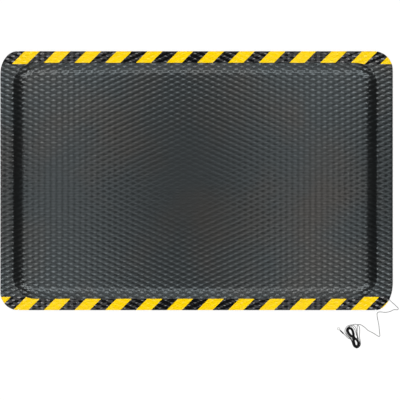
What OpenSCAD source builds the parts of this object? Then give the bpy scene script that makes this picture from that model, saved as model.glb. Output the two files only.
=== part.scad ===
// Cushioned conductive floor mat with a diamond tread, hazard borders and a ground cord.
// Millimetres, +Z up, origin in the middle of the mat's underside, +Y towards the back.

/* [Mat] */
// Length of the mat, left to right
mat_w = 914; // [600:1:940]
// Depth of the mat, front to back
mat_d = 603; // [450:1:620]
// Thickness of the rubber sheet without its tread
sheet_t = 4; // [3.8:0.1:6]

/* [Corners] */
// Front left corner, along the front edge
front_left_x = 42; // [30:1:60]
// Front left corner, along the side edge
front_left_y = 42; // [30:1:60]
// Front right corner, along the front edge
front_right_x = 40; // [30:1:50]
// Front right corner, along the side edge
front_right_y = 63; // [40:1:70]
// Back right corner, along the back edge
back_right_x = 44; // [30:1:60]
// Back right corner, along the side edge
back_right_y = 44; // [30:1:60]
// Back left corner, along the back edge
back_left_x = 40; // [30:1:60]
// Back left corner, along the side edge
back_left_y = 53; // [30:1:60]

/* [Cushion] */
// Flange left of the cushion
margin_left = 30; // [26:1:45]
// Flange right of the cushion
margin_right = 37; // [32:1:45]
// Flange in front of the cushion
margin_front = 26.5; // [20:0.5:32]
// Flange behind the cushion
margin_back = 27; // [20:1:29]
// Corner radius of the cushion, seen from above
cushion_r = 50; // [40:1:70]
// Thickness of the sponge pad
pad_t = 11; // [6:0.5:16]
// Width of the whole shoulder, from the flange to the flat top
shoulder_w = 28; // [22:1:34]
// Width of the shoulder's straight ramp, before it eases into the top
ramp_w = 15.5; // [10:0.5:20]
// Gap that the bonding film fills between pad and sheet
bond_gap = 0.3; // [0.1:0.1:0.5]

/* [Tread] */
// Height of a diamond
tread_h = 1.4; // [0.4:0.1:2]
// Length of a diamond, left to right
diamond_w = 27.3; // [27:0.1:36]
// Depth of a diamond, front to back
diamond_d = 12.2; // [12:0.1:18]

/* [Borders] */
// Width of the front strip where it lies flat
front_strip_w = 31; // [31:0.5:38]
// Width of the back strip where it lies flat
back_strip_w = 30; // [30:0.5:36]
// Thickness of a border strip
strip_t = 1.2; // [0.9:0.1:1.4]
// Thickness of the yellow bars, which are let into the strips
bar_t = 0.6; // [0.3:0.1:0.8]
// Distance from one yellow bar to the next, along the edge
bar_pitch = 71.5; // [60:0.5:90]
// Width of a yellow bar, along the edge
bar_run = 35.5; // [20:0.5:45]
// Lean of the bars from square to the edge
bar_lean = 45; // [30:1:50]
// Place of a front bar's outer left corner, from the middle of the mat
front_bar_x = 1.6; // [-35:0.1:35]
// Place of a back bar's outer left corner, from the middle of the mat
back_bar_x = 28.7; // [-35:0.1:35]
// How much nearer the front strip's last bar lies, in the right corner
last_bar_in = 5.5; // [0:0.5:12]

/* [Ground point] */
// Stud's distance from the right edge
stud_in_x = 23; // [18:0.5:26]
// Stud's distance from the front strip's inner edge
stud_in_y = 8.5; // [5:0.5:14]
// Depth of the recess under the flange
recess_d = 2.4; // [2.3:0.1:2.4]
// Radius of the recess round the stud
recess_r = 4.6; // [4.2:0.1:6]
// Width of the slot that the cord leaves by
slot_w = 2.6; // [2.3:0.1:3.5]
// Radius of the stud's disc inside the rubber
disc_r = 4; // [3:0.1:4.5]
// Thickness of the stud's disc
disc_t = 0.5; // [0.3:0.1:0.6]
// Rubber between the recess and the disc
disc_cover = 0.5; // [0.3:0.1:0.6]
// Radius of the stud's head
head_r = 2.7; // [2.3:0.1:3.2]
// Thickness of the stud's head
head_t = 0.9; // [0.6:0.1:1.2]

/* [Ring lugs] */
// Hole in a lug's ring
hole_d = 3.7; // [3.2:0.1:4.3]
// Outside of a lug's ring
ring_d = 6.6; // [6.2:0.1:8]
// Thickness of a lug's ring
ring_t = 0.8; // [0.5:0.1:1]
// Width of a lug's neck
neck_w = 2; // [1.6:0.1:2]
// Diameter of a lug's barrel
barrel_d = 2; // [1.8:0.1:2.1]
// Length of a lug's barrel
barrel_l = 5; // [4:0.1:5.5]
// How far the neck runs under the barrel, which it joins there
neck_lap = 0.5; // [0.3:0.1:0.8]
// From the hole's centre to the barrel's end
lug_reach = 9.85; // [9.5:0.05:9.85]
// Clearance of the stud in its lug, and of a barrel in its sleeve, on the radius
lug_gap = 0.05; // [0.05:0.05:0.1]
// Outside of the insulating sleeve
sleeve_d = 3; // [2.6:0.1:4]
// Length of the insulating sleeve
sleeve_l = 11; // [8:0.5:12]

/* [Cord] */
// Diameter of the ground cord
cord_d = 1.2; // [0.8:0.1:1.6]
// Height of the hank
hank_h = 6.5; // [4:0.5:9]

/* [Hidden] */

rubber = [0.22, 0.23, 0.24];
sponge = [0.12, 0.12, 0.13];
gloss_black = [0.05, 0.05, 0.06];
yellow = [1, 0.8, 0.05];
brass = [0.8, 0.66, 0.3];
tin = [0.75, 0.75, 0.73];
cord_black = [0.08, 0.08, 0.09];

// Extra reach of a cut past the face that it opens
through = 1;
// How far the flange runs in under the crown's edge, as both are one moulding
flange_lap = 2;
round_fn = 48;
corner_steps = 12;
pad_steps = 6;
crown_steps = 4;

// Edges of the mat and of the cushion's foot
left = -mat_w / 2;
right = mat_w / 2;
front = -mat_d / 2;
back = mat_d / 2;
foot_left = left + margin_left;
foot_right = right - margin_right;
foot_front = front + margin_front;
foot_back = back - margin_back;

// The tread's grid: diamond tips and hollows take turns along both directions
cols = round((foot_right - foot_left) / (diamond_w / 2));
rows = round((foot_back - foot_front) / (diamond_d / 2));
step_x = (foot_right - foot_left) / cols;
step_y = (foot_back - foot_front) / rows;

// The ground point, and the way that its lug and cord point
stud_x = right - stud_in_x;
stud_y = front + front_strip_w + stud_in_y;
exit_turn = -45;

// The far terminal's hole, as it lies on the floor
ring_x = 331;
ring_y = -345;
ring_z = sleeve_d / 2 + 0.05;
ring_turn = -45;

// The hank's two lobes and the neck between them, seen from above
upper_lobe = [363, -351];
upper_lobe_r = 17;
lower_lobe = [373, -378];
lower_lobe_r = 11.5;
hank_neck_w = 12;

// The cord from the ground lug to the hank, and from the hank into the far terminal's sleeve
cord_route = [
    [441, -269, 1.4], [445, -273, 1.4], [449, -277, 1.3], [455, -283, 0.8], [462, -289, 0.7],
    [468, -295, 0.7], [471, -298, 0.7], [470, -301, 0.7], [466, -301, 0.7], [460, -301, 0.7],
    [451, -305, 0.7], [441, -307, 0.7], [428, -306, 0.7], [422, -308, 0.7], [421, -315, 0.7],
    [425, -337, 0.7], [427, -357, 0.7], [428, -362, 0.7], [424, -363, 0.7], [413, -356, 0.7],
    [400, -349, 0.7], [391, -341, 0.7], [383, -336, 0.7], [377, -335.5, 0.7], [374.5, -338.3, 0.7]
];
tail_route = [
    [363, -372.2, 0.7], [360.4, -370.7, 0.7], [353.5, -367, 0.7], [347, -361, 0.8],
    [343, -357, 1.5], [338, -352, 1.55]
];
cord_sides = 8;
rings_per_span = 2;

// A quarter of an ellipse from one corner's side to the next, turned by whole quarters
function corner(x, y, rx, ry, turn) = [
    for (k = [0:corner_steps])
        let (a = turn + 90 * k / corner_steps)
        [x + rx * cos(a), y + ry * sin(a)]
];

// Outline of the mat, anticlockwise from the front right corner
mat_outline = concat(
    corner(right - front_right_x, front + front_right_y, front_right_x, front_right_y, -90),
    corner(right - back_right_x, back - back_right_y, back_right_x, back_right_y, 0),
    corner(left + back_left_x, back - back_left_y, back_left_x, back_left_y, 90),
    corner(left + front_left_x, front + front_left_y, front_left_x, front_left_y, 180)
);

// Outline of the cushion's foot drawn in by an inset, with round corners, at a height
function pad_ring(inset, z) = [
    for (c = [
        [foot_right - cushion_r, foot_front + cushion_r, -90],
        [foot_right - cushion_r, foot_back - cushion_r, 0],
        [foot_left + cushion_r, foot_back - cushion_r, 90],
        [foot_left + cushion_r, foot_front + cushion_r, 180]
    ])
        for (k = [0:pad_steps])
            let (a = c[2] + 90 * k / pad_steps, r = cushion_r - inset)
            [c[0] + r * cos(a), c[1] + r * sin(a), z]
];

// How far a point lies inside the cushion's foot
function inside_by(x, y) =
    let (
        dx = min(x - foot_left, foot_right - x),
        dy = min(y - foot_front, foot_back - y),
        cx = cushion_r - dx,
        cy = cushion_r - dy
    )
    cx > 0 && cy > 0 ? cushion_r - norm([cx, cy]) : min(dx, dy);

// The shoulder's rise at a distance from the cushion's foot: a straight ramp that eases into the flat top
function shoulder_rise(d) =
    let (
        far = max(0, min(shoulder_w, d)),
        eased = pow(max(0, far - ramp_w), 2) / (2 * (shoulder_w - ramp_w))
    )
    2 * pad_t / (shoulder_w + ramp_w) * (far - eased);

// The sheet's own surface, from the flange up to the flat top
function sheet_z(x, y) = sheet_t + shoulder_rise(inside_by(x, y));

// The tread stands on it, and fades out at the cushion's foot
function tread_z(i, j) =
    let (
        x = foot_left + i * step_x,
        y = foot_front + j * step_y,
        tip = (i + j) % 2 == 0 && inside_by(x, y) > 0.1
    )
    sheet_z(x, y) + (tip ? tread_h : 0);

// A closed skin over rings of equal length, from the lowest ring to the highest
module ring_stack(rings) {
    n = len(rings[0]);
    top = len(rings) - 1;
    sides = [
        for (k = [0:top - 1])
            for (i = [0:n - 1])
                let (a = k * n + i, b = k * n + (i + 1) % n)
                each [[a, a + n, b], [b, a + n, b + n]]
    ];
    bottom_cap = [for (i = [0:n - 1]) i];
    top_cap = [for (i = [0:n - 1]) top * n + n - 1 - i];
    polyhedron([for (r = rings) each r], concat(sides, [bottom_cap, top_cap]));
}

// The cushion's treaded crown, on four plain walls down to the floor
module treaded_crown() {
    over = [
        for (j = [0:rows])
            for (i = [0:cols])
                [foot_left + i * step_x, foot_front + j * step_y, tread_z(i, j)]
    ];
    floor_points = [
        [foot_left, foot_front, 0], [foot_right, foot_front, 0],
        [foot_right, foot_back, 0], [foot_left, foot_back, 0]
    ];
    f = len(over);
    function at(i, j) = j * (cols + 1) + i;
    // Each cell is folded along the line that joins its two hollows, so the tips become diamonds
    cells = [
        for (j = [0:rows - 1])
            for (i = [0:cols - 1])
                let (a = at(i, j), b = at(i + 1, j), c = at(i + 1, j + 1), d = at(i, j + 1))
                each (i + j) % 2 == 0 ? [[a, d, b], [b, d, c]] : [[a, c, b], [a, d, c]]
    ];
    front_wall = [for (i = [0:cols - 1]) [f, at(i, 0), at(i + 1, 0)]];
    right_wall = [for (j = [0:rows - 1]) [f + 1, at(cols, j), at(cols, j + 1)]];
    back_wall = [for (i = [0:cols - 1]) [f + 2, at(cols - i, rows), at(cols - i - 1, rows)]];
    left_wall = [for (j = [0:rows - 1]) [f + 3, at(0, rows - j), at(0, rows - j - 1)]];
    wall_ends = [
        [f, at(cols, 0), f + 1], [f + 1, at(cols, rows), f + 2],
        [f + 2, at(0, rows), f + 3], [f + 3, at(0, 0), f]
    ];
    under = [[f, f + 1, f + 2], [f, f + 2, f + 3]];
    polyhedron(
        concat(over, floor_points),
        concat(cells, front_wall, right_wall, back_wall, left_wall, wall_ends, under)
    );
}

// Solid of the sponge pad, grown by a gap and started at a depth below the floor
module pad_solid(grow, below) {
    insets = concat([0], [for (k = [0:crown_steps]) ramp_w + (shoulder_w - ramp_w) * k / crown_steps]);
    ring_stack(concat(
        below > 0 ? [pad_ring(-grow, -below)] : [],
        [for (d = insets) pad_ring(d - grow, shoulder_rise(d) + grow)]
    ));
}

// Plan of a border strip: the edge's band, less the cushion's foot
module strip_plan(from_y, to_y) {
    difference() {
        intersection() {
            polygon(mat_outline);
            translate([left, from_y]) square([mat_w, to_y - from_y]);
        }
        polygon([for (p = pad_ring(0, 0)) [p[0], p[1]]]);
    }
}

module front_strip_plan() {
    strip_plan(front, front + front_strip_w);
}

module back_strip_plan() {
    strip_plan(back - back_strip_w, back);
}

// Leaning bars from one outer corner's place, over the mat's whole length, the last one laid nearer
module bar_plan(edge_y, inwards, strip_w, place, last_in) {
    shift = inwards * strip_w * tan(bar_lean);
    span = ceil((mat_w / 2 + strip_w + bar_run) / bar_pitch) + 1;
    for (k = [-span:span])
        let (even = place + k * bar_pitch, x = even + bar_run > right ? even - last_in : even)
        if (x + bar_run + max(0, shift) > left && x + min(0, shift) < right)
            polygon([
                [x, edge_y], [x + bar_run, edge_y],
                [x + bar_run + shift, edge_y + inwards * strip_w], [x + shift, edge_y + inwards * strip_w]
            ]);
}

module front_bars_solid(low) {
    translate([0, 0, low]) linear_extrude(sheet_t - low) intersection() {
        front_strip_plan();
        bar_plan(front, 1, front_strip_w, front_bar_x, last_bar_in);
    }
}

module back_bars_solid(low) {
    translate([0, 0, low]) linear_extrude(sheet_t - low) intersection() {
        back_strip_plan();
        bar_plan(back, -1, back_strip_w, back_bar_x, 0);
    }
}

// Recess for the ring lug, and the slot that runs from it out under the corner
module ground_recess() {
    translate([stud_x, stud_y, -through]) {
        cylinder(r = recess_r, h = recess_d + through, $fn = round_fn);
        rotate(exit_turn) translate([0, -slot_w / 2, 0])
            cube([margin_right + front_strip_w, slot_w, recess_d + through]);
    }
}

// Stud as it is turned: head below, neck through the lug, disc in the rubber
module stud_solid() {
    head_low = recess_d - ring_t - head_t;
    neck_r = hole_d / 2 - lug_gap;
    disc_low = recess_d + disc_cover;
    translate([stud_x, stud_y, 0]) {
        translate([0, 0, head_low]) cylinder(r = head_r, h = head_t, $fn = round_fn);
        translate([0, 0, head_low]) cylinder(r = neck_r, h = disc_low + disc_t - head_low, $fn = round_fn);
        translate([0, 0, disc_low]) cylinder(r = disc_r, h = disc_t, $fn = round_fn);
    }
}

// Crimped ring lug along +X: hole at the origin, barrel's axis at height zero, ring flush with its low side
module ring_lug() {
    translate([0, 0, -barrel_d / 2]) linear_extrude(ring_t) difference() {
        union() {
            circle(d = ring_d, $fn = round_fn);
            translate([0, -neck_w / 2]) square([lug_reach - barrel_l + neck_lap, neck_w]);
        }
        circle(d = hole_d, $fn = round_fn);
    }
    translate([lug_reach - barrel_l, 0, 0]) rotate([0, 90, 0])
        cylinder(d = barrel_d, h = barrel_l, $fn = round_fn);
}

// A smooth run of points through a route, and the tube along it
function through_points(p, s, t) =
    let (
        a = p[max(s - 1, 0)],
        b = p[s],
        c = p[s + 1],
        d = p[min(s + 2, len(p) - 1)]
    )
    0.5 * (2 * b + (c - a) * t + (2 * a - 5 * b + 4 * c - d) * t * t + (3 * b - a - 3 * c + d) * t * t * t);

function smooth_run(p, steps) = [
    for (s = [0:len(p) - 2])
        for (k = [0:steps - 1])
            through_points(p, s, k / steps),
    p[len(p) - 1]
];

function unit(v) = v / norm(v);

function cord_ring(run, i) =
    let (
        last = len(run) - 1,
        along = i == 0 ? run[1] - run[0] : i == last ? run[last] - run[last - 1] : run[i + 1] - run[i - 1],
        side = unit(cross([0, 0, 1], along)),
        up = unit(cross(along, side))
    )
    [
        for (k = [0:cord_sides - 1])
            let (a = 360 * (k + 0.5) / cord_sides)
            run[i] + cord_d / 2 * (cos(a) * side + sin(a) * up)
    ];

module cord_tube(route) {
    run = smooth_run(route, rings_per_span);
    ring_stack([for (i = [0:len(run) - 1]) cord_ring(run, i)]);
}

module cover_sheet() {
    color(rubber) difference() {
        union() {
            linear_extrude(sheet_t) difference() {
                polygon(mat_outline);
                translate([foot_left + flange_lap, foot_front + flange_lap])
                    square([foot_right - foot_left - 2 * flange_lap, foot_back - foot_front - 2 * flange_lap]);
            }
            treaded_crown();
        }
        pad_solid(bond_gap, through);
        translate([0, 0, sheet_t - strip_t]) linear_extrude(pad_t + tread_h + strip_t) {
            front_strip_plan();
            back_strip_plan();
        }
        ground_recess();
        stud_solid();
    }
}

module cushion_core() {
    color(sponge) pad_solid(0, 0);
}

module front_border_strip() {
    color(gloss_black) difference() {
        translate([0, 0, sheet_t - strip_t]) linear_extrude(strip_t) front_strip_plan();
        front_bars_solid(sheet_t - bar_t);
    }
}

module back_border_strip() {
    color(gloss_black) difference() {
        translate([0, 0, sheet_t - strip_t]) linear_extrude(strip_t) back_strip_plan();
        back_bars_solid(sheet_t - bar_t);
    }
}

module front_yellow_bars() {
    color(yellow) front_bars_solid(sheet_t - bar_t);
}

module back_yellow_bars() {
    color(yellow) back_bars_solid(sheet_t - bar_t);
}

module ground_stud() {
    color(brass) stud_solid();
}

module ground_lug() {
    color(tin) translate([stud_x, stud_y, recess_d - barrel_d / 2])
        rotate(exit_turn) rotate([180, 0, 0]) ring_lug();
}

module ground_cord() {
    color(cord_black) cord_tube(cord_route);
}

module cord_hank() {
    span = lower_lobe - upper_lobe;
    color(cord_black) linear_extrude(hank_h) union() {
        translate(upper_lobe) circle(r = upper_lobe_r, $fn = round_fn);
        translate(lower_lobe) circle(r = lower_lobe_r, $fn = round_fn);
        translate(upper_lobe) rotate(atan2(span[1], span[0]))
            translate([0, -hank_neck_w / 2]) square([norm(span), hank_neck_w]);
    }
}

module cord_tail() {
    color(cord_black) cord_tube(tail_route);
}

module terminal_sleeve() {
    sleeve_start = lug_reach - barrel_l + neck_lap + lug_gap;
    color(cord_black) translate([ring_x, ring_y, ring_z]) rotate(ring_turn)
        translate([sleeve_start, 0, 0]) rotate([0, 90, 0]) difference() {
            cylinder(d = sleeve_d, h = sleeve_l, $fn = round_fn);
            translate([0, 0, -through])
                cylinder(r = barrel_d / 2 + lug_gap, h = sleeve_l + 2 * through, $fn = round_fn);
        }
}

module end_ring_terminal() {
    color(tin) translate([ring_x, ring_y, ring_z]) rotate(ring_turn) ring_lug();
}

cover_sheet();
cushion_core();
front_border_strip();
back_border_strip();
front_yellow_bars();
back_yellow_bars();
ground_stud();
ground_lug();
ground_cord();
cord_hank();
cord_tail();
terminal_sleeve();
end_ring_terminal();
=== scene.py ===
import math

import bmesh
import bpy
import numpy as np
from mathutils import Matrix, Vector


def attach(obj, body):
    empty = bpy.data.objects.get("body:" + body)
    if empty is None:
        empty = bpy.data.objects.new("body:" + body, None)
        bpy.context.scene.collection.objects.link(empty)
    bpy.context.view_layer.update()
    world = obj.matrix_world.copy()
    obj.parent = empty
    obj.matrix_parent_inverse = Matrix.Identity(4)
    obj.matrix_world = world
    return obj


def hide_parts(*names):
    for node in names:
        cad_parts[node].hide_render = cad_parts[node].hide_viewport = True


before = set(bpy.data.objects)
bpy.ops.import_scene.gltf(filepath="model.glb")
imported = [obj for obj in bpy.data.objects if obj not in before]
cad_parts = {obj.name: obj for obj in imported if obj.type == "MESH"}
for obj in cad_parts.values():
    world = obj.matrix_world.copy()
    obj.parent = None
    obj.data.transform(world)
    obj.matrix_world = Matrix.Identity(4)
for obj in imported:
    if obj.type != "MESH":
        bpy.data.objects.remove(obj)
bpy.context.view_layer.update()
scene = bpy.context.scene
scene.view_settings.view_transform = "Standard"

# Camera. The mat was photographed from straight above with a long lens, a little in front of its middle, so
# that the cord in front of it is in the picture and the mat's right edge almost touches the picture's side.
sensor_mm = 36.0
lens_mm = 100.0
view_width = 0.9316
view_middle = (0.008, -0.045)
flange_top = 0.004
camera_data = bpy.data.cameras.new("photo_camera")
camera_data.sensor_width = sensor_mm
camera_data.lens = lens_mm
camera_data.clip_end = 20.0
camera = bpy.data.objects.new("photo_camera", camera_data)
camera.location = (*view_middle, flange_top + view_width * lens_mm / sensor_mm)
scene.collection.objects.link(camera)
scene.camera = camera

# Ground cord. One thin black insulated wire runs from the lug under the front right corner, over the floor in
# three sharp bends, and round and round in a small hank, whose inner turns cross over in a figure of eight.
# It leaves the hank by its left side and ends in a ring terminal.
wire_mm = 1.2
# The free stretch from the lug to the hank, and the tail from the hank to the terminal
free_route = [
    (441, -269, 1.4), (445, -273, 1.4), (449, -277, 1.3), (455, -283, 0.8), (462, -289, 0.7),
    (468, -295, 0.7), (471, -298, 0.7), (470, -301, 0.7), (466, -301, 0.7), (460, -301, 0.7),
    (451, -305, 0.7), (441, -307, 0.7), (428, -306, 0.7), (422, -308, 0.7), (421, -315, 0.7),
    (425, -337, 0.7), (427, -357, 0.7), (428, -362, 0.7), (424, -363, 0.7), (413, -356, 0.7),
    (400, -349, 0.7), (391, -341, 0.7), (383, -336, 0.7), (377, -335.5, 0.7), (374.5, -338.3, 0.7),
]
tail_route = [
    (363, -372.2, 0.7), (360.4, -370.7, 0.7), (353.5, -367, 0.7), (347, -361, 0.8),
    (343, -357, 1.5), (338, -352, 1.55),
]
# The four loose outer turns, clockwise from where the cord comes in
outer_turns = [
    (374.8, -345), (374.2, -355), (375, -366), (375.6, -374), (376.4, -380), (375, -385), (371.5, -386.6),
    (368.2, -383.6), (366.6, -377), (365, -370), (359, -365), (353, -358), (350.6, -351), (351.6, -345),
    (355.4, -340.8), (362, -336.4), (369, -334.4), (375.5, -334.6), (379.8, -338.5), (380.6, -346),
    (380.2, -355), (379.4, -364), (382, -373.5), (383.2, -381.5), (380.2, -388), (373.8, -391.2),
    (367, -388.4), (363.8, -380), (362.6, -371.5), (357, -366.4), (349.4, -360.6), (345.4, -353.5),
    (346, -345.5), (351, -338.8), (359, -336), (368, -337.4), (372.4, -343.4), (373, -351), (373.4, -358),
    (376.4, -366), (380.2, -374.5), (381.6, -381), (379, -386.6), (373.6, -389.6), (368.2, -387), (365.2, -380),
    (363.6, -372), (358.4, -366.4), (351.4, -360.4), (348.2, -353.5), (348.8, -345.6), (353.6, -340),
    (359.6, -338), (365, -340.2), (369, -346.6), (371.6, -354), (374.4, -362), (377, -369),
]
# One inner turn: down the right of the lower lobe, up its left, across to the upper lobe's right and back
inner_turn = [
    (376.6, -374), (378.4, -380.5), (376.8, -386), (372.6, -388.2), (368.8, -385.2), (366.8, -379),
    (365.8, -372), (366.2, -365), (366, -357.5), (364.4, -350), (361, -344), (356.8, -342), (352.6, -344.6),
    (351.2, -350), (353.6, -355.6), (359, -360.4), (365, -365), (371.5, -369),
]
inner_count = 12
last_turn = [
    (376.6, -374), (378.4, -380.5), (376.8, -386), (372.6, -388.2), (368.8, -385.2), (366.8, -379.5), (365, -374.6),
]
# The inner turns lie three to a layer, and each shifts to its place over the first part of the turn
layer_places = (-1, 0, 1, 1, 0, -1)
turns_a_layer = 3
last_turn_height = 2.0
shift_start, shift_length = 0.05, 0.25
# Where a turn crosses the one before, it rises in a long low hump. Its middle and width are shares of a turn.
crossing_hump = 2.6
hump_middle = 0.93
hump_width = 0.11
# The wire is cut to short even steps
span_cuts = 24
route_step = 0.8
wire_step = 0.9
# The hank is let down in small rounds. Strands nearer than the reach are kept apart, and points within a few
# steps of each other count as one strand. In the last rounds it is only held apart and evened out.
relax_rounds = 260
last_rounds = 60
pair_rounds = 10
pair_reach = 2.5 * wire_mm
same_strand = 5
let_down = 0.02
drawn_back = 0.02
smoothing = 0.3
push_apart = 0.5
least_gap = 0.05
step_pull = 0.25
ends_held = 3
# The free stretch is eased where it bends more tightly than this radius
tightest_bend = 2.8
ease_rounds = 16
ease_share = 0.4


def smooth_line(points, step):
    """A smooth line through the points, cut to even steps."""
    p = np.array(points, float)
    p = np.vstack([2 * p[0] - p[1], p, 2 * p[-1] - p[-2]])
    t = np.linspace(0, 1, span_cuts, endpoint=False)[:, None]
    line = []
    for a, b, c, d in zip(p[:-3], p[1:-2], p[2:-1], p[3:]):
        line.append(0.5 * (2 * b + (c - a) * t + (2 * a - 5 * b + 4 * c - d) * t**2 + (3 * b - a - 3 * c + d) * t**3))
    line = np.vstack(line + [p[-2][None]])
    run = np.r_[0, np.cumsum(np.linalg.norm(np.diff(line, axis=0), axis=1))]
    at = np.linspace(0, run[-1], max(2, int(round(run[-1] / step)) + 1))
    return np.column_stack([np.interp(at, run, line[:, k]) for k in range(line.shape[1])])


def ease_bends(path):
    """Straighten a line where it bends too tightly. Its ends stay."""
    sag = 0.5 * (path[2:] + path[:-2]) - path[1:-1]
    step = np.linalg.norm(path[2:] - path[:-2], axis=1) / 2
    tight = 2 * np.linalg.norm(sag, axis=1) * tightest_bend > step**2
    tight[1:-1] |= tight[2:] | tight[:-2]
    eased = path.copy()
    eased[1:-1] += np.where(tight, ease_share, 0.0)[:, None] * sag
    return eased


def wind_hank():
    """The wire inside the hank, wound turn on turn and then let down until no strand cuts another."""
    flat = smooth_line([free_route[-1][:2]] + outer_turns, wire_step)
    height = np.full(len(flat), wire_mm / 2)
    turn_line = smooth_line(inner_turn + inner_turn[:1], wire_step)[:-1]
    along = np.linspace(0, 1, len(turn_line), endpoint=False)
    hump = crossing_hump * np.exp(-(((along - hump_middle) / hump_width) ** 2))
    side = np.roll(turn_line, -1, axis=0) - np.roll(turn_line, 1, axis=0)
    side = np.column_stack([-side[:, 1], side[:, 0]]) / np.linalg.norm(side, axis=1)[:, None]
    lines, heights = [flat], [height]
    for k in range(inner_count):
        here, after = [(layer_places[q % len(layer_places)], q // turns_a_layer) for q in (k, k + 1)]
        blend = np.clip((along - shift_start) / shift_length, 0, 1)
        shift = wire_mm * (here[0] + (after[0] - here[0]) * blend)
        lines.append(turn_line + side * shift[:, None])
        heights.append(wire_mm / 2 + wire_mm * (here[1] + (after[1] - here[1]) * blend) + hump)
    end = smooth_line(last_turn + [tail_route[0][:2]], wire_step)
    lines.append(end)
    heights.append(np.linspace(last_turn_height, tail_route[0][2], len(end)))
    path = smooth_line(np.column_stack([np.vstack(lines), np.concatenate(heights)]), wire_step)
    aim = path[:, :2].copy()
    fixed = np.zeros(len(path), bool)
    fixed[:ends_held] = fixed[-ends_held:] = True
    start = path.copy()
    index = np.arange(len(path))
    for k in range(relax_rounds):
        if k % pair_rounds == 0:
            near = ((path[:, None] - path[None]) ** 2).sum(axis=2) < pair_reach**2
            i, j = np.nonzero(near & (index[None] - index[:, None] > same_strand))
        if k < relax_rounds - last_rounds:
            path[:, 2] -= let_down
            path[:, :2] += drawn_back * (aim - path[:, :2])
        path[1:-1] += smoothing * (0.5 * (path[2:] + path[:-2]) - path[1:-1])
        gap = path[i] - path[j]
        far = np.maximum(np.linalg.norm(gap, axis=1), least_gap)
        push = gap * (push_apart * np.maximum(wire_mm - far, 0) / far)[:, None]
        np.add.at(path, i, push)
        np.add.at(path, j, -push)
        span = path[1:] - path[:-1]
        length = np.linalg.norm(span, axis=1)
        pull = span * (step_pull * (length - wire_step) / length)[:, None]
        path[:-1] += pull
        path[1:] -= pull
        path[:, 2] = np.maximum(path[:, 2], wire_mm / 2)
        path[fixed] = start[fixed]
    return path


hank_path = wind_hank()
free_line, tail_line = smooth_line(free_route, route_step), smooth_line(tail_route, route_step)
for _ in range(ease_rounds):
    free_line = ease_bends(free_line)
wire_path = smooth_line(np.vstack([free_line[:-1], hank_path[1:-1], tail_line]), wire_step) / 1000
wire_length = float(np.linalg.norm(np.diff(wire_path, axis=0), axis=1).sum())
print(f"ground cord: {wire_length:.3f} m, hank {hank_path[:, 2].max():.1f} mm high")

wire_curve = bpy.data.curves.new("ground_wire", "CURVE")
wire_curve.dimensions = "3D"
wire_curve.bevel_depth = wire_mm / 2000
wire_curve.bevel_resolution = 2
wire_curve.use_fill_caps = True
wire_spline = wire_curve.splines.new("POLY")
wire_spline.points.add(len(wire_path) - 1)
wire_spline.points.foreach_set("co", np.column_stack([wire_path, np.ones(len(wire_path))]).ravel())
wire_spline.use_smooth = True
ground_wire = bpy.data.objects.new("ground_wire", wire_curve)
scene.collection.objects.link(ground_wire)


def new_material(name, colour, roughness, **sockets):
    """A material with its shader's plain values set on the shader, and nothing else in it yet."""
    made = bpy.data.materials.new(name)
    made.use_nodes = True
    shader = made.node_tree.nodes["Principled BSDF"]
    shader.inputs["Base Color"].default_value = (*colour, 1)
    shader.inputs["Roughness"].default_value = roughness
    for socket, value in sockets.items():
        shader.inputs[socket.replace("_", " ")].default_value = value
    return made, made.node_tree, shader


def grain_group(name):
    """Fine moulded grain: a mottled colour, a varied roughness and a height to bump."""
    group = bpy.data.node_groups.new(name, "ShaderNodeTree")
    face = group.interface
    for label, kind, value in (
        ("Colour", "NodeSocketColor", (0.5, 0.5, 0.5, 1)),
        ("Other Colour", "NodeSocketColor", (0.4, 0.4, 0.4, 1)),
        ("Patch Size", "NodeSocketFloat", 12.0),
        ("Grain Size", "NodeSocketFloat", 900.0),
        ("Roughness", "NodeSocketFloat", 0.5),
        ("Roughness Spread", "NodeSocketFloat", 0.1),
        ("Depth", "NodeSocketFloat", 0.2),
    ):
        socket = face.new_socket(name=label, in_out="INPUT", socket_type=kind)
        socket.default_value = value
    face.new_socket(name="Colour", in_out="OUTPUT", socket_type="NodeSocketColor")
    face.new_socket(name="Roughness", in_out="OUTPUT", socket_type="NodeSocketFloat")
    face.new_socket(name="Normal", in_out="OUTPUT", socket_type="NodeSocketVector")
    nodes, links = group.nodes, group.links
    inp, out = nodes.new("NodeGroupInput"), nodes.new("NodeGroupOutput")
    place = nodes.new("ShaderNodeTexCoord")
    patch, grain = nodes.new("ShaderNodeTexNoise"), nodes.new("ShaderNodeTexNoise")
    mix = nodes.new("ShaderNodeMix")
    mix.data_type = "RGBA"
    spread = nodes.new("ShaderNodeMath")
    spread.operation = "MULTIPLY_ADD"
    centre = nodes.new("ShaderNodeMath")
    centre.operation = "SUBTRACT"
    centre.inputs[1].default_value = 0.5
    bump = nodes.new("ShaderNodeBump")
    bump.inputs["Distance"].default_value = 0.0002
    links.new(place.outputs["Object"], patch.inputs["Vector"])
    links.new(place.outputs["Object"], grain.inputs["Vector"])
    links.new(inp.outputs["Patch Size"], patch.inputs["Scale"])
    links.new(inp.outputs["Grain Size"], grain.inputs["Scale"])
    links.new(patch.outputs["Fac"], mix.inputs["Factor"])
    links.new(inp.outputs["Colour"], mix.inputs["A"])
    links.new(inp.outputs["Other Colour"], mix.inputs["B"])
    links.new(mix.outputs["Result"], out.inputs["Colour"])
    links.new(grain.outputs["Fac"], centre.inputs[0])
    links.new(centre.outputs[0], spread.inputs[0])
    links.new(inp.outputs["Roughness Spread"], spread.inputs[1])
    links.new(inp.outputs["Roughness"], spread.inputs[2])
    links.new(spread.outputs[0], out.inputs["Roughness"])
    links.new(grain.outputs["Fac"], bump.inputs["Height"])
    links.new(inp.outputs["Depth"], bump.inputs["Strength"])
    links.new(bump.outputs["Normal"], out.inputs["Normal"])
    return group


moulded_grain = grain_group("moulded_grain")


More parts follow.
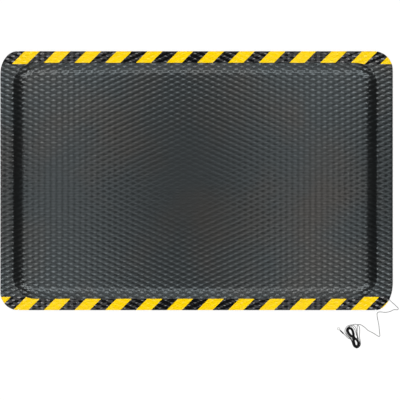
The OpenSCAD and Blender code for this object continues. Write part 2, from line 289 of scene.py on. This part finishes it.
def add_grain(tree, shader, **values):
    """Place the grain group in a material, with this material's own values."""
    node = tree.nodes.new("ShaderNodeGroup")
    node.node_tree = moulded_grain
    for label, value in values.items():
        socket = node.inputs[label.replace("_", " ")]
        socket.default_value = (*value, 1) if isinstance(value, tuple) else value
    tree.links.new(node.outputs["Colour"], shader.inputs["Base Color"])
    tree.links.new(node.outputs["Roughness"], shader.inputs["Roughness"])
    tree.links.new(node.outputs["Normal"], shader.inputs["Normal"])
    return node


wire_black, tree, shader = new_material("wire_jacket", (0.02, 0.02, 0.022), 0.4, Specular_IOR_Level=0.15)
add_grain(tree, shader, Colour=(0.004, 0.004, 0.0045), Other_Colour=(0.007, 0.007, 0.0075), Patch_Size=60.0,
          Grain_Size=2500.0, Roughness=0.55, Roughness_Spread=0.2, Depth=0.15)
wire_curve.materials.append(wire_black)
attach(ground_wire, "root")
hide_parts("ground_cord", "cord_hank", "cord_tail")

# Rubber cover sheet. One moulding of black conductive rubber: a thin flange all round, and a cushion that rises
# from it over a sloping shoulder. A diamond tread is pressed into the whole of it, edge to edge. Its underside is
# hollow for the sponge pad, with a small recess and a slot for the ground stud and the cord.
mat_w, mat_d = 914.0, 603.0
left, right, front, back = -mat_w / 2, mat_w / 2, -mat_d / 2, mat_d / 2
foot_left, foot_right, foot_front, foot_back = left + 30, right - 37, front + 26.5, back - 27
foot_r = 50.0
sheet_t, pad_t, shoulder_w, ramp_w = 4.0, 11.0, 28.0, 15.5
diamond_w, diamond_d, tread_h, tread_round = 27.3, 12.2, 1.4, 1.8
# Each corner is a quarter of an ellipse of its own: its side of X and Y, and its radii
corners = {
    (1, -1): (40.0, 63.0),
    (1, 1): (44.0, 44.0),
    (-1, 1): (40.0, 53.0),
    (-1, -1): (42.0, 42.0),
}
corner_cuts = 12
edge_round = 1.2
edge_drop = 0.6
cuts_a_step = 3
lines_each_way = 400
cut_snap = 1e-5
# A line just inside the cushion's left and right foot keeps the fold there crisp
fold_in = 1.5
step_x = (foot_right - foot_left) / round((foot_right - foot_left) / (diamond_w / 2))
step_y = (foot_back - foot_front) / round((foot_back - foot_front) / (diamond_d / 2))
strip_edges = {"front": front + 31.0, "back": back - 30.0}
strip_t, bar_t = 1.2, 0.6
bar_pitch, bar_run, bar_slope = 71.5, 35.5, 1.0
bars_each_way = 8
bar_places = {"front": 1.6, "back": 28.7}
last_bar_in = 5.5
bond_gap = 0.3
stud = (right - 23.0, strip_edges["front"] + 8.5)
recess_d, recess_r, slot_w, slot_l = 2.4, 4.6, 2.6, 70.0
slot_degrees = -45
below = -1.0
# What is cut out for the stud, from below: its recess, its shaft and its head, each with radius, low and high
stud_cuts = [
    (recess_r, below, recess_d), (1.8, recess_d - 0.1, recess_d + 0.6), (4.0, recess_d + 0.5, recess_d + 1.0),
]
circle_points = 48
foot_steps = 14
ease_steps = 8
shoulder_steps = [0] + [ramp_w + (shoulder_w - ramp_w) * k / ease_steps for k in range(ease_steps + 1)]
crease_degrees = 40
# How far to either side of a cut its faces are looked for, each more than the width of a face
reach_x, reach_y, corner_reach = 6.0, 4.0, 8.0
bar_reach_x, bar_reach_y = 50.0, 2.0


def bar_starts(side):
    """Where each yellow bar's left edge meets the mat's edge. The last front bar was laid a little nearer."""
    starts = [bar_places[side] + k * bar_pitch for k in range(-bars_each_way, bars_each_way)]
    return [x - last_bar_in if side == "front" and x + bar_run > right else x for x in starts]


def inside_foot(x, y):
    """How far a point lies inside the cushion's foot."""
    dx = np.minimum(x - foot_left, foot_right - x)
    dy = np.minimum(y - foot_front, foot_back - y)
    cx, cy = np.maximum(foot_r - dx, 0), np.maximum(foot_r - dy, 0)
    return np.where((cx > 0) & (cy > 0), foot_r - np.hypot(cx, cy), np.minimum(dx, dy))


def inside_outline(x, y):
    """Roughly how far a point lies inside the mat's outline."""
    far = np.minimum(np.minimum(x - left, right - x), np.minimum(y - front, back - y))
    for (sx, sy), (rx, ry) in corners.items():
        u = (sx * x - (mat_w / 2 - rx)) / rx
        v = (sy * y - (mat_d / 2 - ry)) / ry
        corner_far = (1 - np.hypot(u, v)) * min(rx, ry)
        far = np.where((u > 0) & (v > 0), np.minimum(far, corner_far), far)
    return far


def shoulder_rise(inside):
    """The shoulder's rise inside the cushion's foot: a straight ramp that eases into the flat top."""
    far = np.clip(inside, 0, shoulder_w)
    eased = np.maximum(far - ramp_w, 0) ** 2 / (2 * (shoulder_w - ramp_w))
    return 2 * pad_t / (shoulder_w + ramp_w) * (far - eased)


def relief(x, y):
    """Height of the sheet's treaded face."""
    ground = sheet_t + shoulder_rise(inside_foot(x, y))
    u, v = (x - foot_left) / step_x, (y - foot_front) / step_y
    i, j = np.floor(u), np.floor(v)
    fu, fv = u - i, v - j
    a = np.where((i + j) % 2 == 0, fu, 1 - fu)
    near = a + fv <= 1
    du, dv = np.where(near, a, 1 - a), np.where(near, fv, 1 - fv)
    bump = tread_h * (1 - du**tread_round - dv**tread_round)
    edge = np.clip(1 - inside_outline(x, y) / edge_round, 0, 1)
    return ground + bump - edge_drop * edge**2


def cut(flat, faces, point, normal, clear=False):
    """Cut some of a flat mesh's faces along a line, and take away what lies beyond it if asked."""
    geometry = list({v for f in faces for v in f.verts}) + list({e for f in faces for e in f.edges}) + list(faces)
    bmesh.ops.bisect_plane(flat, geom=geometry, dist=cut_snap, plane_co=(*point, 0), plane_no=(*normal, 0),
                           clear_outer=clear)


def faces_in(flat, x0, y0, x1, y1):
    """The flat mesh's faces with their middle in a box."""
    return [f for f in flat.faces if x0 <= f.calc_center_median().x <= x1 and y0 <= f.calc_center_median().y <= y1]


def cut_corner(flat, middle, radii, signs, clear):
    """Cut a quarter of an ellipse out of a corner, as a run of short straight cuts."""
    box_x = sorted((middle[0], middle[0] + signs[0] * (radii[0] + corner_reach)))
    box_y = sorted((middle[1], middle[1] + signs[1] * (radii[1] + corner_reach)))
    for k in range(corner_cuts):
        a, b = [math.radians(90 * (k + q) / corner_cuts) for q in (0, 1)]
        p = Vector((middle[0] + signs[0] * radii[0] * math.cos(a), middle[1] + signs[1] * radii[1] * math.sin(a)))
        q = Vector((middle[0] + signs[0] * radii[0] * math.cos(b), middle[1] + signs[1] * radii[1] * math.sin(b)))
        along = (q - p) * signs[0] * signs[1]
        faces = faces_in(flat, box_x[0], box_y[0], box_x[1], box_y[1])
        if clear:
            cut(flat, faces, p, (along.y, -along.x), True)
        else:
            low_x, high_x = min(p.x, q.x) - corner_reach, max(p.x, q.x) + corner_reach
            low_y, high_y = min(p.y, q.y) - corner_reach, max(p.y, q.y) + corner_reach
            near = [f for f in faces if low_x <= f.calc_center_median().x <= high_x
                    and low_y <= f.calc_center_median().y <= high_y]
            cut(flat, near, p, (along.y, -along.x))


def grid_lines(first, step, low, high):
    """Even lines on both sides of a first one, a few to each step of the tread, to just past both ends."""
    lines = [first + k * step / cuts_a_step for k in range(-lines_each_way, lines_each_way)]
    return [at for at in lines if low - step / cuts_a_step < at < high + step / cuts_a_step]


def tread_plan():
    """The mat's plan as a flat mesh, with an edge along each groove of the tread."""
    xs = sorted(grid_lines(foot_left, step_x, left, right) + [foot_left + fold_in, foot_right - fold_in])
    ys = grid_lines(foot_front, step_y, front, back)
    flat = bmesh.new()
    grid = [[flat.verts.new((x, y, 0)) for x in xs] for y in ys]
    for j in range(len(ys) - 1):
        row = math.floor(((ys[j] + ys[j + 1]) / 2 - foot_front) / step_y)
        for i in range(len(xs) - 1):
            col = math.floor(((xs[i] + xs[i + 1]) / 2 - foot_left) / step_x)
            a, b, c, d = grid[j][i], grid[j][i + 1], grid[j + 1][i + 1], grid[j + 1][i]
            if (row + col) % 2 == 0:
                flat.faces.new((a, b, d))
                flat.faces.new((b, c, d))
            else:
                flat.faces.new((a, b, c))
                flat.faces.new((a, c, d))
    for point, normal in (((left, 0), (-1, 0)), ((right, 0), (1, 0)), ((0, front), (0, -1)), ((0, back), (0, 1))):
        cut(flat, flat.faces[:], point, normal, True)
    for (sx, sy), (rx, ry) in corners.items():
        cut_corner(flat, (sx * (mat_w / 2 - rx), sy * (mat_d / 2 - ry)), (rx, ry), (sx, sy), True)
    return flat


# The plan is cut along the edge's rounding, the strips' inner edges, the cushion's foot and the bars
plan = tread_plan()
for x in (left + edge_round, right - edge_round):
    cut(plan, faces_in(plan, x - reach_x, front, x + reach_x, back), (x, 0), (1, 0))
for y in (front + edge_round, back - edge_round):
    cut(plan, faces_in(plan, left, y - reach_y, right, y + reach_y), (0, y), (0, 1))
for (sx, sy), (rx, ry) in corners.items():
    corner_middle = (sx * (mat_w / 2 - rx), sy * (mat_d / 2 - ry))
    cut_corner(plan, corner_middle, (rx - edge_round, ry - edge_round), (sx, sy), False)
for side, edge in strip_edges.items():
    foot = foot_front if side == "front" else foot_back
    cut(plan, faces_in(plan, left, edge - reach_y, right, edge + reach_y), (0, edge), (0, 1))
    cut(plan, faces_in(plan, left, foot - reach_y, right, foot + reach_y), (0, foot), (0, 1))
    sy = -1 if side == "front" else 1
    for sx, foot_x in ((-1, foot_left), (1, foot_right)):
        cut_corner(plan, (foot_x - sx * foot_r, foot - sy * foot_r), (foot_r, foot_r), (sx, sy), False)
    outer = front if side == "front" else back
    for start in bar_starts(side):
        for x in (start, start + bar_run):
            low_y, high_y = min(outer, edge) - bar_reach_y, max(outer, edge) + bar_reach_y
            band = faces_in(plan, x - bar_reach_x, low_y, x + bar_reach_x, high_y)
            if band:
                cut(plan, band, (x, outer), (1, -bar_slope))
bmesh.ops.triangulate(plan, faces=[f for f in plan.faces if len(f.verts) > 3])

# Every face of the plan belongs to the sheet, to a strip or to a bar
plan.verts.index_update()
plan_xy = np.array([v.co[:2] for v in plan.verts])
plan_faces = np.array([[v.index for v in f.verts] for f in plan.faces])
plan.free()
plan_top = relief(plan_xy[:, 0], plan_xy[:, 1])
middle = plan_xy[plan_faces].mean(axis=1)
in_strip = inside_foot(middle[:, 0], middle[:, 1]) < 0
in_front = in_strip & (middle[:, 1] < strip_edges["front"])
in_back = in_strip & (middle[:, 1] > strip_edges["back"])
in_bar = {}
for side, band, outer in (("front", in_front, front), ("back", in_back, back)):
    at_edge = middle[:, 0] - bar_slope * (middle[:, 1] - outer)
    in_bar[side] = band & np.any([(at_edge >= x) & (at_edge < x + bar_run) for x in bar_starts(side)], axis=0)


def solid(name, chosen, top, bottom, flat_base=False):
    """A closed mesh over some of the plan's faces. top and bottom give each face's three heights."""
    points, tris, index = [], [], {}

    def at(v, z):
        """A point over a corner of the plan, made when it is first asked for."""
        key = (v, round(z, 4))
        if key not in index:
            index[key] = len(points)
            points.append((plan_xy[v, 0] / 1000, plan_xy[v, 1] / 1000, z / 1000))
        return index[key]

    owner = {}
    for f in np.flatnonzero(chosen):
        tri = plan_faces[f]
        tris.append([at(v, z) for v, z in zip(tri, top[f])])
        if not flat_base:
            tris.append([at(v, z) for v, z in zip(tri[::-1], bottom[f][::-1])])
        for q in range(3):
            owner[(tri[q], tri[(q + 1) % 3])] = (f, q)
    # A wall stands along the rim, and where the face across an edge lies lower
    rim = {}
    for (a, b), (f, q) in owner.items():
        za, zb = top[f][q], top[f][(q + 1) % 3]
        other = owner.get((b, a))
        if other is None:
            la, lb = bottom[f][q], bottom[f][(q + 1) % 3]
            rim[a] = b
        else:
            g, r = other
            lb, la = top[g][r], top[g][(r + 1) % 3]
            if za + zb <= la + lb + 1e-6:
                continue
        corner = [at(a, la), at(b, lb), at(b, zb), at(a, za)]
        corner = [c for k, c in enumerate(corner) if c != corner[k - 1]]
        if len(corner) > 2:
            tris.append(corner)
    if flat_base:
        first = next(iter(rim))
        loop, v = [first], rim[first]
        while v != first:
            loop.append(v)
            v = rim[v]
        tris.append([at(v, bottom[0][0]) for v in loop[::-1]])
    mesh = bpy.data.meshes.new(name)
    mesh.from_pydata(points, [], tris)
    mesh.validate()
    mesh.shade_smooth()
    mesh.set_sharp_from_angle(angle=math.radians(crease_degrees))
    made = bpy.data.objects.new(name, mesh)
    scene.collection.objects.link(made)
    return made


def skin(name, rings):
    """A closed mesh over rings of points, from the lowest ring to the highest."""
    n = len(rings[0])
    points = [(x / 1000, y / 1000, z / 1000) for ring in rings for x, y, z in ring]
    faces = [list(range(n))[::-1], list(range(len(points) - n, len(points)))]
    for k in range(len(rings) - 1):
        faces += [(k * n + i, k * n + (i + 1) % n, (k + 1) * n + (i + 1) % n, (k + 1) * n + i) for i in range(n)]
    mesh = bpy.data.meshes.new(name)
    mesh.from_pydata(points, [], faces)
    made = bpy.data.objects.new(name, mesh)
    scene.collection.objects.link(made)
    return made


def foot_ring(inset, z):
    """The cushion's foot, drawn in by an inset, at a height."""
    turns = [math.radians(q * 90 + 90 * k / foot_steps) for q in range(-1, 3) for k in range(foot_steps + 1)]
    middles = [(foot_right - foot_r, foot_front + foot_r), (foot_right - foot_r, foot_back - foot_r),
               (foot_left + foot_r, foot_back - foot_r), (foot_left + foot_r, foot_front + foot_r)]
    return [(middles[k // (foot_steps + 1)][0] + (foot_r - inset) * math.cos(a),
             middles[k // (foot_steps + 1)][1] + (foot_r - inset) * math.sin(a), z) for k, a in enumerate(turns)]


def cut_out(piece, cutter):
    """Take one closed mesh out of another, and put the cutter away."""
    taken = piece.modifiers.new("cut_out", "BOOLEAN")
    taken.operation = "DIFFERENCE"
    taken.solver = "MANIFOLD"
    taken.object = cutter
    shaped = bpy.data.meshes.new_from_object(piece.evaluated_get(bpy.context.evaluated_depsgraph_get()))
    piece.modifiers.clear()
    piece.data = shaped
    bpy.data.objects.remove(cutter)


# The hollow for the pad, the stud's recess and the cord's slot are meant to be cut out here. As it stands Blender
# refuses these cuts, because the mesh isn't joined at the four places where a strip's inner edge meets the rim,
# and the sheet's mesh stays solid below.
face_top = plan_top[plan_faces]
cover_top = face_top - strip_t * (in_front | in_back)[:, None]
cover = solid("rubber_cover", np.ones(len(plan_faces), bool), cover_top, np.zeros_like(face_top), flat_base=True)
pocket = [foot_ring(-bond_gap, below)]
pocket += [foot_ring(d - bond_gap, float(shoulder_rise(d)) + bond_gap) for d in shoulder_steps]
cut_out(cover, skin("pad_pocket", pocket))
circle = [math.radians(360 * k / circle_points) for k in range(circle_points)]
for radius, low, high in stud_cuts:
    ring = [(stud[0] + radius * math.cos(a), stud[1] + radius * math.sin(a)) for a in circle]
    cut_out(cover, skin("stud_cut", [[(x, y, z) for x, y in ring] for z in (low, high)]))
slot_turn = Vector((math.cos(math.radians(slot_degrees)), math.sin(math.radians(slot_degrees))))
slot_side = Vector((-slot_turn.y, slot_turn.x)) * slot_w / 2
slot_far = Vector(stud) + slot_turn * slot_l
slot_plan = [Vector(stud) - slot_side, slot_far - slot_side, slot_far + slot_side, Vector(stud) + slot_side]
cut_out(cover, skin("cord_slot", [[(p.x, p.y, z) for p in slot_plan] for z in (below, recess_d)]))
cover.data.shade_smooth()
cover.data.set_sharp_from_angle(angle=math.radians(crease_degrees))
print("cover faces", len(cover.data.polygons), "height %.2f" % (1000 * max(v.co.z for v in cover.data.vertices)))
cover_rubber, tree, shader = new_material("cover_rubber", (0.02, 0.02, 0.02), 0.45, Specular_IOR_Level=0.95)
add_grain(tree, shader, Colour=(0.0015, 0.0017, 0.0019), Other_Colour=(0.003, 0.003, 0.003), Patch_Size=9.0,
          Grain_Size=1400.0, Roughness=0.31, Roughness_Spread=0.12, Depth=0.3)
# The rubber's gloss is a little cooler or warmer in large soft patches
place, bloom = tree.nodes.new("ShaderNodeTexCoord"), tree.nodes.new("ShaderNodeTexNoise")
bloom.inputs["Scale"].default_value = 5.0
bloom.inputs["Detail"].default_value = 3.0
sheen = tree.nodes.new("ShaderNodeValToRGB")
sheen.color_ramp.elements[0].position, sheen.color_ramp.elements[0].color = 0.45, (0.84, 0.96, 1.0, 1)
sheen.color_ramp.elements[1].position, sheen.color_ramp.elements[1].color = 0.7, (1.0, 0.97, 0.92, 1)
tree.links.new(place.outputs["Object"], bloom.inputs["Vector"])
tree.links.new(bloom.outputs["Fac"], sheen.inputs["Fac"])
tree.links.new(sheen.outputs["Color"], shader.inputs["Specular Tint"])
cover.data.materials.append(cover_rubber)
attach(cover, "root")
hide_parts("cover_sheet")

# Border strips. Glossy black rubber strips are let into the flange along the front and the back edge, and take
# the tread with it. Leaning bars of yellow rubber are let into them in turn, flush with them.
strip_black, tree, shader = new_material("border_black", (0.006, 0.006, 0.008), 0.2, Specular_IOR_Level=0.5)
add_grain(tree, shader, Colour=(0.002, 0.0022, 0.003), Other_Colour=(0.004, 0.004, 0.005), Patch_Size=20.0,
          Grain_Size=1400.0, Roughness=0.14, Roughness_Spread=0.06, Depth=0.08)
bar_yellow, tree, shader = new_material("border_yellow", (1.0, 0.62, 0.0), 0.3, Specular_IOR_Level=0.2)
add_grain(tree, shader, Colour=(0.95, 0.66, 0.001), Other_Colour=(0.95, 0.61, 0.001), Patch_Size=40.0,
          Grain_Size=1400.0, Roughness=0.2, Roughness_Spread=0.08, Depth=0.08)
for side, band in (("front", in_front), ("back", in_back)):
    strip_top = face_top - bar_t * in_bar[side][:, None]
    strip = solid(f"{side}_strip", band, strip_top, face_top - strip_t)
    strip.data.materials.append(strip_black)
    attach(strip, "root")
    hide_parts(f"{side}_border_strip")
    bar_set = solid(f"{side}_bars", in_bar[side], face_top, face_top - bar_t)
    bar_set.data.materials.append(bar_yellow)
    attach(bar_set, "root")
    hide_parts(f"{side}_yellow_bars")

# Sponge pad. A closed-cell sponge slab lies under the raised middle, bonded to the sheet. Only its underside
# can be seen, when the mat is turned over.
pad_inset = 0.4
pad_crease_degrees = 50
pad_cell_size = 650.0
# The slab's lower edge is rounded, and its sides lean in under the sheet's shoulder
pad_rings = [foot_ring(1.6, 0), foot_ring(0.5, 0.1), foot_ring(0.3, 0.35)]
pad_rings += [foot_ring(d + pad_inset, float(shoulder_rise(d))) for d in shoulder_steps[1:]]
pad = skin("sponge_pad", pad_rings)
pad.data.shade_smooth()
pad.data.set_sharp_from_angle(angle=math.radians(pad_crease_degrees))
pad.data.polygons[0].use_smooth = pad.data.polygons[1].use_smooth = False
sponge, tree, shader = new_material("pad_sponge", (0.015, 0.015, 0.016), 0.9)
grain = add_grain(tree, shader, Colour=(0.013, 0.013, 0.014), Other_Colour=(0.026, 0.026, 0.027), Patch_Size=30.0,
                  Grain_Size=900.0, Roughness=0.88, Roughness_Spread=0.15, Depth=0.5)
place, pores = tree.nodes.new("ShaderNodeTexCoord"), tree.nodes.new("ShaderNodeTexVoronoi")
pores.inputs["Scale"].default_value = pad_cell_size
pits = tree.nodes.new("ShaderNodeBump")
pits.inputs["Strength"].default_value = 0.7
pits.inputs["Distance"].default_value = 0.0004
tree.links.new(place.outputs["Object"], pores.inputs["Vector"])
tree.links.new(pores.outputs["Distance"], pits.inputs["Height"])
tree.links.new(grain.outputs["Normal"], pits.inputs["Normal"])
tree.links.new(pits.outputs["Normal"], shader.inputs["Normal"])
pad.data.materials.append(sponge)
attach(pad, "root")
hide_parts("cushion_core")

# Ground stud, ring lugs and sleeve. The stud is turned from brass and moulded into the flange's underside. The
# lugs are stamped from tinned copper and crimped on the wire's two ends, and a black sleeve is pushed over the
# far crimp. They are the CAD's own pieces, with a finish of their own.
brass, tree, shader = new_material("stud_brass", (0.7, 0.5, 0.2), 0.3, Metallic=1.0)
add_grain(tree, shader, Colour=(0.72, 0.52, 0.22), Other_Colour=(0.5, 0.33, 0.12), Patch_Size=400.0,
          Grain_Size=6000.0, Roughness=0.3, Roughness_Spread=0.25, Depth=0.12)
tin, tree, shader = new_material("lug_tin", (0.6, 0.6, 0.58), 0.35, Metallic=1.0)
add_grain(tree, shader, Colour=(0.64, 0.64, 0.62), Other_Colour=(0.48, 0.48, 0.46), Patch_Size=500.0,
          Grain_Size=6000.0, Roughness=0.34, Roughness_Spread=0.25, Depth=0.15)
sleeve_black, tree, shader = new_material("sleeve_black", (0.015, 0.015, 0.016), 0.5)
add_grain(tree, shader, Colour=(0.01, 0.01, 0.011), Other_Colour=(0.016, 0.016, 0.017), Patch_Size=300.0,
          Grain_Size=2500.0, Roughness=0.5, Roughness_Spread=0.2, Depth=0.4)
for name, finish in (("ground_stud", brass), ("ground_lug", tin), ("end_ring_terminal", tin),
                     ("terminal_sleeve", sleeve_black)):
    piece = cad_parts[name]
    piece.data.materials.clear()
    piece.data.materials.append(finish)

# Floor. A plain white sheet that the mat lies on. The camera and the gloss of the mat see it mostly as white
# paper of its own brightness, and the rest of it takes the mat's shadow.
half = 4.0
paper_glow, glow_share = 1.04, 0.85
floor_mesh = bpy.data.meshes.new("floor")
floor_mesh.from_pydata([(-half, -half, 0), (half, -half, 0), (half, half, 0), (-half, half, 0)], [], [(0, 1, 2, 3)])
floor = bpy.data.objects.new("floor", floor_mesh)
scene.collection.objects.link(floor)
floor_white = bpy.data.materials.new("floor_white")
floor_white.use_nodes = True
tree = floor_white.node_tree
tree.nodes.clear()
paper = tree.nodes.new("ShaderNodeBsdfDiffuse")
paper.inputs["Color"].default_value = (0.9, 0.9, 0.9, 1)
glow = tree.nodes.new("ShaderNodeEmission")
glow.inputs["Strength"].default_value = paper_glow
seen = tree.nodes.new("ShaderNodeLightPath")
camera_or_gloss, any_seen = tree.nodes.new("ShaderNodeMath"), tree.nodes.new("ShaderNodeMath")
camera_or_gloss.operation = any_seen.operation = "MAXIMUM"
share = tree.nodes.new("ShaderNodeMath")
share.operation = "MULTIPLY"
share.inputs[1].default_value = glow_share
mix = tree.nodes.new("ShaderNodeMixShader")
surface = tree.nodes.new("ShaderNodeOutputMaterial")
tree.links.new(seen.outputs["Is Camera Ray"], camera_or_gloss.inputs[0])
tree.links.new(seen.outputs["Is Glossy Ray"], camera_or_gloss.inputs[1])
tree.links.new(camera_or_gloss.outputs[0], any_seen.inputs[0])
tree.links.new(seen.outputs["Is Transmission Ray"], any_seen.inputs[1])
tree.links.new(any_seen.outputs[0], share.inputs[0])
tree.links.new(share.outputs[0], mix.inputs[0])
tree.links.new(paper.outputs[0], mix.inputs[1])
tree.links.new(glow.outputs[0], mix.inputs[2])
tree.links.new(mix.outputs[0], surface.inputs["Surface"])
floor_mesh.materials.append(floor_white)

# Lamps. Two long boxes hang over the mat's left and right halves and two lie across its front and back. Small
# lamps stand farther out in front, behind and at the corners, and low boxes light the shoulders. The sky is faint.
def add_lamp(name, place, aim, energy, size, size_y=None):
    """An area lamp at a place, turned towards a point: a round one, or a box with its long side level."""
    data = bpy.data.lights.new(name, "AREA")
    data.shape = "DISK" if size_y is None else "RECTANGLE"
    data.size = size
    if size_y is not None:
        data.size_y = size_y
    data.energy = energy
    lamp = bpy.data.objects.new(name, data)
    lamp.location = place
    lamp.rotation_euler = (Vector(aim) - lamp.location).to_track_quat("-Z", "Y").to_euler()
    scene.collection.objects.link(lamp)


for x in (-0.485, 0.39):
    add_lamp("long_box", place=(x, 0, 1.2), aim=(x / 2, 0, 0), energy=2.0, size=1.4, size_y=0.3)
for y in (-1, 1):
    for x in (-0.6, 0.58):
        add_lamp("near_lamp", place=(x, 0.8 * y, 0.95), aim=(0.6 * x, 0, 0), energy=1.3, size=0.25)
    for x in (-0.313, 0.241):
        add_lamp("far_lamp", place=(x, 1.7 * y, 1.95), aim=(0.6 * x, 0, 0), energy=4.5, size=0.5)
    for x in (-1.3, 1.3):
        add_lamp("corner_lamp", place=(x, y, 1.2), aim=(0.6 * x, 0, 0), energy=5.2, size=0.4)
    add_lamp("cross_box", place=(0, 0.9 * y, 1.1), aim=(0, 0.135 * y, 0), energy=2.0, size=1.6, size_y=0.3)
    add_lamp("low_box", place=(0, 1.6 * y, 0.6), aim=(0, 0.24 * y, 0), energy=2.6, size=1.6, size_y=0.3)
sky = bpy.data.worlds.new("sky")
scene.world = sky
sky.use_nodes = True
sky.node_tree.nodes["Background"].inputs["Color"].default_value = (1, 1, 1, 1)
sky.node_tree.nodes["Background"].inputs["Strength"].default_value = 0.03
